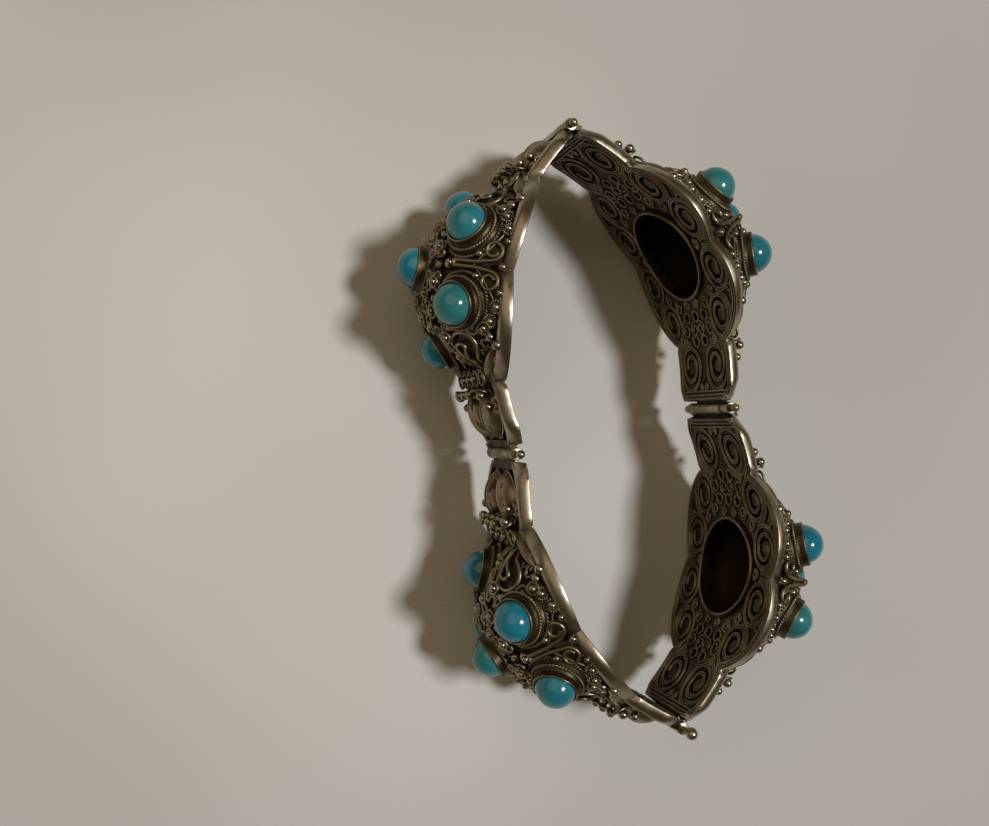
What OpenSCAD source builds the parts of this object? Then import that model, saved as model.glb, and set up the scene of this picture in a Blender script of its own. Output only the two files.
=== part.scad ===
/* [Bracelet] */
// Distance between the two hinge axes of one panel
hinge_pitch = 45; // [43:0.5:47]
// Angle between the two panels at each narrow end, as the bracelet stands
narrow_angle = 42; // [30:1:90]

/* [Panel] */
// Radius of the inner face of a panel's arch
arch_r = 36.7; // [35:0.1:39]
// Thickness of the pierced back plate
plate_t = 0.8; // [0.6:0.1:1]
// Width of the rim, measured in from the panel's edge
rim_t = 1.05; // [1:0.05:1.2]
// Radius of each of the four side lobes
lobe_r = 9.56; // [9.3:0.02:9.8]
// Half width of an end tab
tab_half = 7.7; // [7.2:0.1:8]
// Radius of the round opening in the back plate
opening_r = 6.9; // [6:0.1:7.2]

/* [Dome and bezels] */
// Outer radius of the dome that carries the stones
dome_r = 14.6; // [14:0.1:14.8]
// Wall of the dome
dome_t = 0.7; // [0.5:0.1:1]
// Tilt of the upper pair of stones and of the lowest one, away from the crown stone
ring_tilt = 41; // [39:1:43]
// Tilt of the two side stones away from the crown stone
side_tilt = 45; // [43:1:46]
// Radius of a bezel at its lip
lip_r = 3.05; // [2.9:0.05:3.2]
// Radius of a bezel's skirt where it leaves the dome
skirt_r = 4; // [3.8:0.1:4.2]

/* [Stones] */
// Radius of a cabochon
stone_r = 2.7; // [2.4:0.05:2.75]
// Height of a cabochon above its bezel's lip
stone_rise = 2.4; // [1.8:0.1:2.6]

/* [Hinges] */
// Outer radius of the hinge tube
tube_r = 0.85; // [0.8:0.05:0.95]
// Radius of a hinge pin
pin_r = 0.35; // [0.3:0.01:0.4]
// Half length of the whole row of knuckles
knuckle_half = 6; // [5.6:0.1:6.6]
// Half length of the middle knuckle
middle_half = 3.8; // [3:0.1:4.4]
// Radius of a pin's ball heads
ball_r = 0.6; // [0.55:0.05:0.75]
// Radius of the clasp pin's ball heads
clasp_ball_r = 0.85; // [0.65:0.05:0.9]

/* [Hidden] */

$fn = 96;
silver = [0.5, 0.47, 0.42];
worn_silver = [0.72, 0.7, 0.66];
turquoise = [0.24, 0.62, 0.68];

// The arch. A panel's own frame has X along the line between its hinges, Y outward and Z up, with the
// hinge axes at y = 0 and the middle of the panel's height at z = 0.
hinge_out = 1;
hinge_r = arch_r + hinge_out;
arch_drop = sqrt(hinge_r * hinge_r - hinge_pitch * hinge_pitch / 4);
hinge_angle = asin(hinge_pitch / 2 / hinge_r);
end_gap = 1.1;
end_angle = hinge_angle - asin(end_gap / hinge_r);
end_bar_angle = end_angle - 1.5;

// The outline, seen square on. Each lobe is part of a circle round a point beside the panel's middle.
lobe_x = 4.86;
lobe_z = 3.67;
half_height = lobe_z + lobe_r;
tab_corner_r = 8.8;
tab_corner_x = [15.1, 18.6];
tab_start_x = 9;
tab_end_x = 24;
column_top = 18;

// The rim narrows towards the front in steps: how far in from the edge each one lies, and the height over
// the back plate's inner face that it reaches.
rim_steps = [[0, 0.15], [0.13, 0.6], [0.37, 1], [0.68, 1.3]];
STEP_IN = 0;
STEP_TO = 1;
rim_under = 0.1;
plate_in = 0.5;
dome_in = 0.8;
end_bar_h = 1.3;

// The ring wire round the back opening stands proud of the plate.
ring_wire_w = 0.5;
ring_wire_proud = 0.4;

// Spirals of the back: centre along and across, half length, half width, turn in the plane.
spirals = [[3.75, 9.65, 3.35, 2.85, -12], [10.05, 7.25, 3.3, 2.8, -31], [16.6, 3.8, 3.3, 3.2, 0]];
SPIRAL_X = 0;
SPIRAL_Z = 1;
SPIRAL_A = 2;
SPIRAL_B = 3;
SPIRAL_TURN = 4;
slot_w = 0.5;
slot_outer = 0.78;
slot_inner = 0.25;
slot_turns = 1.5;
slot_step = 20;

// Small round holes of the lattice between the opening and each tab, along and across.
lattice = [[9.8, 0], [9.8, 2.6], [9.8, -2.6], [13.3, 1.3], [13.3, -1.3]];
lattice_r = 0.55;
end_notch_x = [18, 19.8];
end_notch_half = 1.2;

// The dome's centre sits a little outside the hinge line. Its bezels point away from that centre. A
// cylinder along the panel's height, round a centre further out, brings its two flanks in.
dome_y = 0.4;
flank_y = 4;
flank_r = 11.3;
lip_h = 0.8;
pocket_h = 0.9;
stone_gap = 0.05;
dome_hole_r = 0.55;
dome_hole_tilt = 24;
dome_hole_around = [30, 150, 225, 315];

// The stones of one panel: tilt, turn round the crown, and how far from the dome's centre the bezel's lip
// and its foot lie. First the crown, then the upper pair, the two sides and the lowest one.
seats = [[0, 0, 16.3, 13.95],
         [ring_tilt, 60, 16.3, 13.95],
         [ring_tilt, 120, 16.3, 13.95],
         [side_tilt, 197, 14.9, 12.6],
         [side_tilt, 343, 14.9, 12.6],
         [ring_tilt, 270, 16.3, 13.95]];
SEAT_TILT = 0;
SEAT_AROUND = 1;
SEAT_LIP = 2;
SEAT_FOOT = 3;

// Smooth leaves on the tabs: a pointed oval with a round top, rounded more sharply across than along.
leaf_x = 17.1;
leaf_z = 2.85;
leaf_half_l = 3.1;
leaf_half_w = 2.1;
leaf_rise = 2;
leaf_turn = 14;
leaf_side_r = (leaf_half_l * leaf_half_l + leaf_half_w * leaf_half_w) / (2 * leaf_half_w);
leaf_top_r = 3.8;
leaf_ridge_r = 2.5;
leaf_ridge_down = 0.15;

knuckle_gap = 0.15;
bore_r = pin_r + 0.05;
web_t = 0.8;
web_from = (bore_r + tube_r) / 2;
web_to = end_gap + 0.4;

// The pins lie loosely in their knuckles, and each has slid a little way up or down. The clasp's pin is
// longer, so that it can be gripped.
pin_play = 0.4;
clasp_play = 1.2;
pin_slid = [-0.35, 0.35, 0.3, -0.1];
ball_at = knuckle_half + pin_play + ball_r;
clasp_ball_at = knuckle_half + clasp_play + clasp_ball_r;

// Where the four panels and hinge lines stand, going round: panels 1 and 2 on the left.
half_long = hinge_pitch * cos(narrow_angle / 2);
half_short = hinge_pitch * sin(narrow_angle / 2);
hinge_at = [[0, half_long], [-half_short, 0], [0, -half_long], [half_short, 0]];
panel_turn = [90 - narrow_angle / 2, 90 + narrow_angle / 2, 270 - narrow_angle / 2, 270 + narrow_angle / 2];
function panel_middle(i) = (hinge_at[i] + hinge_at[(i + 1) % 4]) / 2;

module place_panel(i) {
    translate([panel_middle(i)[0], panel_middle(i)[1], half_height])
        rotate([0, 0, panel_turn[i]])
            children();
}

// A ring round the arch's centre line, between two radii.
module arch_band(r0, r1) {
    translate([0, -arch_drop, 0])
        difference() {
            cylinder(r = r1, h = 30, center = true);
            cylinder(r = r0, h = 32, center = true);
        }
}

// The stretch of the arch between two angles to either side of its middle.
module arch_wedge(angle) {
    reach = 60;
    translate([0, -arch_drop, 0])
        linear_extrude(height = 30, center = true)
            polygon([[0, 0], [reach * tan(angle), reach], [-reach * tan(angle), reach]]);
}

module outline(inset) {
    for (sx = [-1, 1], sz = [-1, 1])
        translate([sx * lobe_x, sz * lobe_z])
            circle(r = lobe_r - inset);
    for (sx = [-1, 1])
        scale([sx, 1])
            intersection() {
                translate([tab_start_x, inset - tab_half])
                    square([tab_end_x - tab_start_x, 2 * (tab_half - inset)]);
                translate([tab_corner_x[0], 0])
                    circle(r = tab_corner_r - inset);
                translate([tab_corner_x[1], 0])
                    circle(r = tab_corner_r - inset);
            }
}

// The outline as a column along Y, from below the hinge line to above the dome.
module outline_column(inset) {
    translate([0, column_top, 0])
        rotate([90, 0, 0])
            linear_extrude(height = column_top + 4)
                outline(inset);
}

// Puts a flat cutting shape square to the arch at a place along the panel.
module on_arch(x, z) {
    translate([0, -arch_drop, 0])
        rotate([0, 0, -asin(x / arch_r)])
            translate([0, arch_r, z])
                rotate([-90, 0, 0])
                    children();
}

function spiral_point(a, b, turn_at, rho) = [a * rho * cos(turn_at), b * rho * sin(turn_at)];
function slot_rho(t) = slot_outer - (slot_outer - slot_inner) * t / (360 * slot_turns);
function slot_points(a, b) = concat(
    [for (t = [0:slot_step:360 * slot_turns]) spiral_point(a, b, t, slot_rho(t) + slot_w / (a + b))],
    [for (t = [360 * slot_turns:-slot_step:0]) spiral_point(a, b, t, slot_rho(t) - slot_w / (a + b))]);

module spiral_slot(s) {
    rotate([0, 0, -s[SPIRAL_TURN]])
        linear_extrude(height = 4, center = true)
            polygon(slot_points(s[SPIRAL_A], s[SPIRAL_B]));
}

// The spirals of the back plate, alike at both ends and on both sides.
module back_spirals() {
    for (sx = [0, 1], sz = [0, 1])
        mirror([sx, 0, 0])
            mirror([0, 0, sz])
                for (s = spirals)
                    on_arch(s[SPIRAL_X], s[SPIRAL_Z])
                        spiral_slot(s);
}

// The lattice's small holes and the notch at each end.
module back_holes() {
    for (sx = [0, 1])
        mirror([sx, 0, 0]) {
            for (h = lattice)
                on_arch(h[0], h[1])
                    cylinder(r = lattice_r, h = 4, center = true);
            on_arch(end_notch_x[0], 0)
                linear_extrude(height = 4, center = true)
                    polygon([[0, 0], [end_notch_x[1] - end_notch_x[0], end_notch_half],
                             [end_notch_x[1] - end_notch_x[0], -end_notch_half]]);
        }
}

module back_plate() {
    difference() {
        intersection() {
            arch_band(arch_r, arch_r + plate_t);
            arch_wedge(end_angle);
            outline_column(plate_in);
        }
        rotate([-90, 0, 0])
            cylinder(r = opening_r, h = 12);
        back_spirals();
        back_holes();
    }
}

module rim() {
    difference() {
        for (step = rim_steps)
            intersection() {
                arch_band(arch_r - rim_under, arch_r + step[STEP_TO]);
                arch_wedge(end_angle);
                outline_column(step[STEP_IN]);
            }
        outline_column(rim_t);
    }
}

module end_bars() {
    difference() {
        intersection() {
            arch_band(arch_r - rim_under, arch_r + end_bar_h);
            arch_wedge(end_angle);
            outline_column(plate_in);
        }
        arch_wedge(end_bar_angle);
    }
}

module opening_ring() {
    intersection() {
        arch_band(arch_r - ring_wire_proud, arch_r + plate_t / 2);
        rotate([-90, 0, 0])
            difference() {
                cylinder(r = opening_r + ring_wire_w, h = 12);
                translate([0, 0, -1])
                    cylinder(r = opening_r, h = 14);
            }
    }
}

// Turns a shape that stands on Z so that it points away from the dome's centre.
module on_dome(tilt, around) {
    translate([0, dome_y, 0])
        rotate([0, -around, 0])
            rotate([0, 0, -tilt])
                rotate([-90, 0, 0])
                    children();
}

// Takes a shape that stands on Z to a seat's own axis.
module on_seat(seat) {
    on_dome(seat[SEAT_TILT], seat[SEAT_AROUND])
        children();
}

// The dome's whole volume, taken in by one amount everywhere: a ball, narrowed to its flanks and to the
// panel's outline.
module dome_body(inset) {
    intersection() {
        translate([0, dome_y, 0])
            sphere(r = dome_r - inset);
        translate([0, flank_y, 0])
            cylinder(r = flank_r - inset, h = 30, center = true);
        outline_column(dome_in + inset);
    }
}

module dome() {
    intersection() {
        arch_band(arch_r + plate_t / 2, arch_r + 12);
        difference() {
            dome_body(0);
            dome_body(dome_t);
            for (around = dome_hole_around)
                on_dome(dome_hole_tilt, around)
                    cylinder(r = dome_hole_r, h = 20);
        }
    }
}

// A bezel stands on a skirt that widens down to the dome.
module bezel(seat) {
    skirt_top = seat[SEAT_LIP] - lip_h;
    on_seat(seat) {
        translate([0, 0, seat[SEAT_FOOT]])
            cylinder(r1 = skirt_r, r2 = lip_r, h = skirt_top - seat[SEAT_FOOT]);
        translate([0, 0, skirt_top])
            cylinder(r = lip_r, h = lip_h);
    }
}

module bezel_pocket(seat) {
    on_seat(seat)
        translate([0, 0, seat[SEAT_LIP] - pocket_h - stone_gap])
            cylinder(r = stone_r + stone_gap, h = 3);
}

// One leaf lies on a tab, its long axis along the panel and its tip turned outward.
module leaf() {
    side_shift = leaf_side_r - leaf_half_w;
    intersection() {
        translate([0, side_shift, 0])
            cylinder(r = leaf_side_r, h = 6, center = true);
        translate([0, -side_shift, 0])
            cylinder(r = leaf_side_r, h = 6, center = true);
        translate([0, 0, leaf_rise + plate_t - leaf_top_r])
            sphere(r = leaf_top_r);
        translate([0, 0, leaf_rise + plate_t - leaf_ridge_down - leaf_ridge_r])
            rotate([0, 90, 0])
                cylinder(r = leaf_ridge_r, h = 8, center = true);
        translate([-5, -5, plate_t / 2])
            cube([10, 10, 5]);
    }
}

module leaves() {
    for (sx = [0, 1], sz = [0, 1])
        mirror([sx, 0, 0])
            mirror([0, 0, sz])
                on_arch(leaf_x, leaf_z)
                    rotate([0, 0, leaf_turn])
                        leaf();
}

// A stretch of hinge tube on one hinge line, with the web that solders it to the end bar. The web starts
// in the tube's wall, clear of the bore.
module knuckle(side, z0, z1) {
    translate([side * hinge_pitch / 2, 0, z0])
        cylinder(r = tube_r, h = z1 - z0);
    translate([0, -arch_drop, 0])
        rotate([0, 0, -side * hinge_angle])
            translate([side > 0 ? -web_to : web_from, hinge_r - web_t / 2, z0])
                cube([web_to - web_from, web_t, z1 - z0]);
}

module knuckles() {
    knuckle(1, -middle_half, middle_half);
    knuckle(-1, middle_half + knuckle_gap, knuckle_half);
    knuckle(-1, -knuckle_half, -middle_half - knuckle_gap);
}

module panel_metal() {
    difference() {
        union() {
            back_plate();
            rim();
            end_bars();
            opening_ring();
            dome();
            for (seat = seats)
                bezel(seat);
            leaves();
            knuckles();
        }
        for (seat = seats)
            bezel_pocket(seat);
        for (side = [-1, 1])
            translate([side * hinge_pitch / 2, 0, 0])
                cylinder(r = bore_r, h = 20, center = true);
    }
}

module panel(i) {
    color(silver)
        place_panel(i)
            panel_metal();
}

// A cabochon: a low round wall inside the bezel and a high round top. It stands on Z, with the bezel's lip
// at z = 0.
module cabochon() {
    cap_r = (stone_r * stone_r + stone_rise * stone_rise) / (2 * stone_rise);
    translate([0, 0, -pocket_h])
        cylinder(r = stone_r, h = pocket_h);
    intersection() {
        translate([0, 0, stone_rise - cap_r])
            sphere(r = cap_r);
        translate([0, 0, -0.01])
            cylinder(r = stone_r, h = stone_rise + 1);
    }
}

module stone(i, seat) {
    color(turquoise)
        place_panel(i)
            on_seat(seat)
                translate([0, 0, seat[SEAT_LIP]])
                    cabochon();
}

module pin_with_balls(i, at, r) {
    color(worn_silver)
        translate([hinge_at[i][0], hinge_at[i][1], half_height + pin_slid[i]]) {
            cylinder(r = pin_r, h = 2 * at, center = true);
            for (side = [-1, 1])
                translate([0, 0, side * at])
                    sphere(r = r);
        }
}

module hinge_pin(i) {
    pin_with_balls(i, ball_at, ball_r);
}

module clasp() {
    pin_with_balls(2, clasp_ball_at, clasp_ball_r);
}

for (i = [0:3]) {
    panel(i);
    for (k = [0:5])
        stone(i, seats[k]);
}
hinge_pin(0);  // hinge_pin_1
hinge_pin(1);  // hinge_pin_2
hinge_pin(3);  // hinge_pin_3
clasp();  // clasp_pin
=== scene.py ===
"""The panel bracelet on its cloth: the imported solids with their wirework, granules and finish."""

import math

import bmesh
import bpy
from mathutils import Matrix, Vector


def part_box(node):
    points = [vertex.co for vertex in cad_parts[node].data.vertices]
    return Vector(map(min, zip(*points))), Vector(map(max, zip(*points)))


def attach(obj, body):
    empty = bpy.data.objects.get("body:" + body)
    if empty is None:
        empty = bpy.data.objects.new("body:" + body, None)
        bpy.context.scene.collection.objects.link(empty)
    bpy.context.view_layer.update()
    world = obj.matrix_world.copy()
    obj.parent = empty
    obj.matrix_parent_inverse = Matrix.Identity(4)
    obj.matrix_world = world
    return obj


MM = 0.001
SIDES = (1, -1)
QUARTERS = ((1, 1), (1, -1), (-1, 1), (-1, -1))

PANELS = ("first_panel", "second_panel", "third_panel", "fourth_panel")
HINGE_PINS = ("hinge_pin_1", "hinge_pin_2", "clasp_pin", "hinge_pin_3")

# Sizes of one panel, in millimetres from its middle. X runs along it, Y outward and Z up.
HINGE_PITCH = 45.0
HINGE_OUT = 1.0
ARCH_R = 36.7
PLATE_T = 0.8
OPENING_R = 6.9

# The outline of a panel: two lobes on each long side, and a tab with rounded corners at each end.
LOBE_R = 9.56
LOBE_X = 4.86
LOBE_Z = 3.67
HALF_HEIGHT = LOBE_Z + LOBE_R
TAB_HALF = 7.7
TAB_CORNER_R = 8.8
TAB_NEAR_ARC_X = 18.6
TAB_FAR_ARC_X = 15.1
TAB_END_X = 20.95
END_GAP = 1.1

# Steps along the edge of a lobe and of a tab.
LOBE_STEPS = 28
TAB_STEPS = 16

# The hinge knuckles.
TUBE_R = 0.85
KNUCKLE_HALF = 6.0
MIDDLE_HALF = 3.8
KNUCKLE_GAP = 0.15

# The dome: a ball, narrowed to its two flanks.
DOME_R = 14.6
DOME_Y = 0.4
FLANK_R = 11.3
FLANK_Y = 4.0

# The bezels: the radius of the skirt's foot and of the lip.
SKIRT_R = 4.0
LIP_R = 3.05

# The stones of one panel: tilt from the crown, turn round it, and how far out the bezel's lip lies.
SEATS = (
    (0, 0, 16.3),
    (41, 60, 16.3),
    (41, 120, 16.3),
    (45, 197, 14.9),
    (45, 343, 14.9),
    (41, 270, 16.3),
)

# Wire gauges.
SPIRAL_WIRE = 0.32
BORDER_WIRE = 0.36
OPENING_WIRE = 0.5
LATTICE_WIRE = 0.38
HORN_WIRE = 0.56
SCROLL_WIRE = 0.54
HOOK_WIRE = 0.46
KNOT_WIRE = 0.42
CREST_WIRE = 0.42
LEAF_WIRE = 0.3
COIL_WIRE = 0.24
ROSETTE_WIRE = 0.2
ROPE_STRAND = 0.28
LIP_WIRE = 0.3


# Places on a panel, in its own millimetres.

def arch_drop():
    """How far the arch's centre lies behind the line through the panel's two hinges."""
    return math.sqrt((ARCH_R + HINGE_OUT) ** 2 - (HINGE_PITCH / 2) ** 2)


def arch_y(x, out):
    return math.sqrt((ARCH_R + out) ** 2 - x * x) - arch_drop()


def on_arch(x, z, out):
    """A point a distance out from the arch's inner face, with x measured on that face."""
    angle = math.asin(x / ARCH_R)
    reach = ARCH_R + out
    return Vector((reach * math.sin(angle), reach * math.cos(angle) - arch_drop(), z))


def panel_end(out):
    """Where the panel stops along its length, at a distance out from the arch's inner face."""
    reach = ARCH_R + HINGE_OUT
    angle = math.asin(HINGE_PITCH / 2 / reach) - math.asin(END_GAP / reach)
    return (ARCH_R + out) * math.sin(angle)


def front_y(x, z):
    """The height of the panel's front over a place on it: the dome, or the plate beside it."""
    ball = DOME_R ** 2 - x * x - z * z
    flank = FLANK_R ** 2 - x * x
    plate = arch_y(x, PLATE_T)
    if ball <= 0 or flank <= 0:
        return plate
    return max(plate, min(DOME_Y + math.sqrt(ball), FLANK_Y + math.sqrt(flank)))


def on_front(x, z, lift):
    """A point over a place of the front, lifted square to the surface there."""
    step = 0.1
    steepest = 2
    rise_x = (front_y(x + step, z) - front_y(x - step, z)) / (2 * step)
    rise_z = (front_y(x, z + step) - front_y(x, z - step)) / (2 * step)
    lean_x = max(min(rise_x, steepest), -steepest)
    lean_z = max(min(rise_z, steepest), -steepest)
    return Vector((x, front_y(x, z), z)) + Vector((-lean_x, 1, -lean_z)).normalized() * lift


def bezel_level(seat, below):
    """The middle and the axis of a bezel, at a depth below its lip."""
    tilt, around, lip = seat
    t = math.radians(tilt)
    a = math.radians(around)
    way = Vector((math.sin(t) * math.cos(a), math.cos(t), math.sin(t) * math.sin(a)))
    return Vector((0, DOME_Y, 0)) + way * (lip - below), way


def tab_edge(x, inset):
    """Half the tab's width at a place, within its rounded corners."""
    corner = TAB_CORNER_R - inset
    near = math.sqrt(max(corner ** 2 - (x - TAB_NEAR_ARC_X) ** 2, 0))
    far = math.sqrt(max(corner ** 2 - (x - TAB_FAR_ARC_X) ** 2, 0))
    return min(TAB_HALF - inset, near, far)


def cusp_turn(radius, corner):
    """The direction from a lobe's middle to the notch where the lobe meets the tab."""
    across = TAB_NEAR_ARC_X - LOBE_X
    apart = math.hypot(across, LOBE_Z)
    share = (radius ** 2 - corner ** 2 + apart ** 2) / (2 * apart * radius)
    return math.acos(share) - math.atan2(LOBE_Z, across)


def half_edge(inset, end_x):
    """The panel's edge as (x, z) from the middle of its long side to one end."""
    radius = LOBE_R - inset
    first = math.acos(-LOBE_X / radius)
    last = cusp_turn(radius, TAB_CORNER_R - inset)
    points = []
    for step in range(LOBE_STEPS + 1):
        angle = first + (last - first) * step / LOBE_STEPS
        points.append((LOBE_X + radius * math.cos(angle), LOBE_Z + radius * math.sin(angle)))
    start = points[-1][0]
    for step in range(1, TAB_STEPS + 1):
        x = start + (end_x - start) * step / TAB_STEPS
        points.append((x, tab_edge(x, inset)))
    return points


def long_edge(inset, end_x):
    """One whole long side, from end to end."""
    half = half_edge(inset, end_x)
    return [(-x, z) for x, z in reversed(half)] + half[1:]


# Flat paths, as (u, v) points. A sweep is given by its two ends and its step, in degrees, and a
# curl by its inner and outer turn and its reach at each.

CURL_STEP = 14


def sweep(start, end, step):
    """Angles from one to another, in even steps of about the given size."""
    count = int(abs(end - start) / step)
    return [start + (end - start) * i / count for i in range(count + 1)]


def turned(u, v, degrees):
    c = math.cos(math.radians(degrees))
    s = math.sin(math.radians(degrees))
    return u * c - v * s, u * s + v * c


def curl(inner_turn, outer_turn, reach_in, reach_out):
    """A flat spiral round (0, 0), winding outward."""
    points = []
    for turn in sweep(inner_turn, outer_turn, CURL_STEP):
        share = (turn - inner_turn) / (outer_turn - inner_turn)
        points.append(turned(reach_in + (reach_out - reach_in) * share, 0, turn))
    return points


# Wires, granules and other small forms. A run of wire is a list of points and whether it closes.

# Points round a ring of wire, and on each turn of a wound one.
SMALL_RING = 16
HOLE_RING = 20
CREST_RING = 22
LIP_RING = 40
WIND_STEPS = 7
COIL_STEPS = 12

STRAND_APART = 0.48
BIG_BALL_R = 0.5


def wire_mesh(name, runs, gauge):
    """One mesh of round wires."""
    curve = bpy.data.curves.new(name, "CURVE")
    curve.dimensions = "3D"
    curve.bevel_depth = gauge / 2
    curve.bevel_resolution = 1
    curve.use_fill_caps = True
    for points, closed in runs:
        spline = curve.splines.new("POLY")
        spline.points.add(len(points) - 1)
        for knot, point in zip(spline.points, points):
            knot.co = (*point, 1)
        spline.use_cyclic_u = closed
    holder = bpy.data.objects.new(name, curve)
    mesh = bpy.data.meshes.new_from_object(holder)
    bpy.data.objects.remove(holder)
    bpy.data.curves.remove(curve)
    mesh.materials.clear()
    for face in mesh.polygons:
        face.use_smooth = True
    return mesh


def mesh_of(name, bm):
    mesh = bpy.data.meshes.new(name)
    bm.to_mesh(mesh)
    bm.free()
    for face in mesh.polygons:
        face.use_smooth = True
    return mesh


def granule_mesh(name, granules):
    """Small soldered balls, each given by its place and radius."""
    bm = bmesh.new()
    for place, radius in granules:
        detail = 3 if radius > BIG_BALL_R else 2
        bmesh.ops.create_icosphere(
            bm, subdivisions=detail, radius=radius, matrix=Matrix.Translation(place)
        )
    return mesh_of(name, bm)


def round_ways(axis, per_turn, count):
    """Directions square to an axis, going round it in even steps."""
    side = axis.orthogonal().normalized()
    other = axis.normalized().cross(side)
    ways = []
    for i in range(count):
        turn = 2 * math.pi * i / per_turn
        ways.append(side * math.cos(turn) + other * math.sin(turn))
    return ways


def ring_run(middle, axis, radius, steps):
    return [middle + way * radius for way in round_ways(axis, steps, steps)], True


def laid_ring(surface, x, z, lift, radius, steps):
    """A ring that lies flat over a place of the arch or of the front."""
    centre = surface(x, z, lift)
    return ring_run(centre, surface(x, z, lift + 1) - centre, radius, steps)


def wound_ring(middle, axis, radius, wind_radius, winds, phase=0):
    """A closed wire that winds round and round a ring."""
    steps = winds * WIND_STEPS
    along = axis.normalized()
    points = []
    for i, way in enumerate(round_ways(axis, steps, steps)):
        wind = 2 * math.pi * winds * i / steps + phase
        reach = radius + wind_radius * math.cos(wind)
        points.append(middle + way * reach + along * wind_radius * math.sin(wind))
    return points, True


def rope_runs(middle, axis, radius, strand, twists):
    """Two strands twisted round each other in a ring."""
    apart = strand * STRAND_APART
    return [wound_ring(middle, axis, radius, apart, twists, phase) for phase in (0, math.pi)]


def coil_run(start, end, radius, turns):
    """A little spring between two points."""
    last = turns * COIL_STEPS
    points = []
    for i, way in enumerate(round_ways(end - start, COIL_STEPS, last + 1)):
        points.append(start.lerp(end, i / last) + way * radius)
    return points, False


# The back of a panel. Each OUT is how far a wire's middle lies out from the arch's inner face.

# Spirals: centre along and across, half length, half width, and turn in degrees.
BACK_SPIRALS = (
    (3.75, 9.65, 3.35, 2.85, -12),
    (10.05, 7.25, 3.3, 2.8, -31),
    (16.6, 3.8, 3.3, 3.2, 0),
)
SPIRAL_OUT = -0.12
SPIRAL_SWEEP = (-200, 650, 12)
SPIRAL_EDGE = 0.98

# The pierced slot of a spiral, as shares of its size at its two ends, and its turns.
SLOT_OUTER = 0.78
SLOT_INNER = 0.25
SLOT_TURNS = 1.5

BORDER_INSETS = (0.3, 0.78)
BORDER_END_X = 20.4
BORDER_OUT = -0.14
END_WIRES_X = (19.9, 20.35, 20.8)
END_WIRES_INSET = 0.4
END_WIRES_OUT = -0.1
END_WIRES_STEPS = 6

# The lattice: rings round the pierced holes, then curls and small rings as place and size.
LATTICE_HOLES = ((9.8, 0), (9.8, 2.6), (9.8, -2.6), (13.3, 1.3), (13.3, -1.3))
HOLE_RING_R = 0.8
BACK_CURLS = (
    (11.6, 0.9, 1.1), (11.5, 3.4, 1.3), (8.2, 4.0, 0.95), (8.0, 1.3, 0.7),
    (13.2, 4.2, 0.7), (19.4, 0.65, 0.5), (0, 8.0, 0.75), (6.7, 6.3, 0.8),
)
BACK_RINGS = ((0, 11.2, 0.55), (6.9, 11.4, 0.5), (13.3, 6.2, 0.5))
BACK_CURL_TURNS = (30, 560)
BACK_CURL_HEART = 0.3
LATTICE_RING_OUT = -0.05
LATTICE_CURL_OUT = -0.1

OPENING_WIRE_R = OPENING_R + 0.22
OPENING_WIRE_OUT = -0.42
OPENING_WIRE_STEP = 5


def spiral_wire(spiral, beside, sx, sz):
    """A wire that winds in along one side of a pierced spiral, from a turn that fills its place."""
    centre_x, centre_z, half_length, half_width, lean = spiral
    turn_share = (SLOT_OUTER - SLOT_INNER) / SLOT_TURNS
    points = []
    for turn in sweep(*SPIRAL_SWEEP):
        share = min(SLOT_OUTER + turn_share * (0.5 - turn / 360), SPIRAL_EDGE)
        share += beside * SPIRAL_WIRE / (half_length + half_width)
        u, v = turned(share, 0, -turn)
        u, v = turned(half_length * u, half_width * v, lean)
        points.append(on_arch(sx * (centre_x + u), sz * (centre_z + v), SPIRAL_OUT))
    return points, False


def back_spiral_runs():
    """A pair of wires for each pierced spiral, one along either side of its slot."""
    runs = []
    for sx, sz in QUARTERS:
        for spiral in BACK_SPIRALS:
            runs += [spiral_wire(spiral, beside, sx, sz) for beside in (-1, 1)]
    return runs


def back_border_runs():
    """Two wires along each long edge and three across each end."""
    runs = []
    for sz in SIDES:
        for inset in BORDER_INSETS:
            edge = long_edge(inset, BORDER_END_X)
            runs.append(([on_arch(x, sz * z, BORDER_OUT) for x, z in edge], False))
    for sx in SIDES:
        for x in END_WIRES_X:
            reach = tab_edge(x, END_WIRES_INSET) / END_WIRES_STEPS
            steps = range(-END_WIRES_STEPS, END_WIRES_STEPS + 1)
            runs.append(([on_arch(sx * x, reach * s, END_WIRES_OUT) for s in steps], False))
    return runs


def lattice_runs():
    """Small rings and curls between the round opening and each tab."""
    runs = []
    for sx in SIDES:
        for x, z in LATTICE_HOLES:
            runs.append(laid_ring(on_arch, sx * x, z, LATTICE_RING_OUT, HOLE_RING_R, HOLE_RING))
    for sx, sz in QUARTERS:
        for x, z, size in BACK_CURLS:
            inner, outer = BACK_CURL_TURNS
            flat = curl(sz * inner, sz * outer, BACK_CURL_HEART * size, size)
            points = [on_arch(sx * (x + u), sz * z + v, LATTICE_CURL_OUT) for u, v in flat]
            runs.append((points, False))
        for x, z, size in BACK_RINGS:
            runs.append(laid_ring(on_arch, sx * x, sz * z, LATTICE_RING_OUT, size, SMALL_RING))
    return runs


def opening_wire_runs():
    points = []
    for turn in range(0, 360, OPENING_WIRE_STEP):
        x, z = turned(OPENING_WIRE_R, 0, turn)
        points.append(on_arch(x, z, OPENING_WIRE_OUT))
    return [(points, True)]


# The wires of the front.

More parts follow.
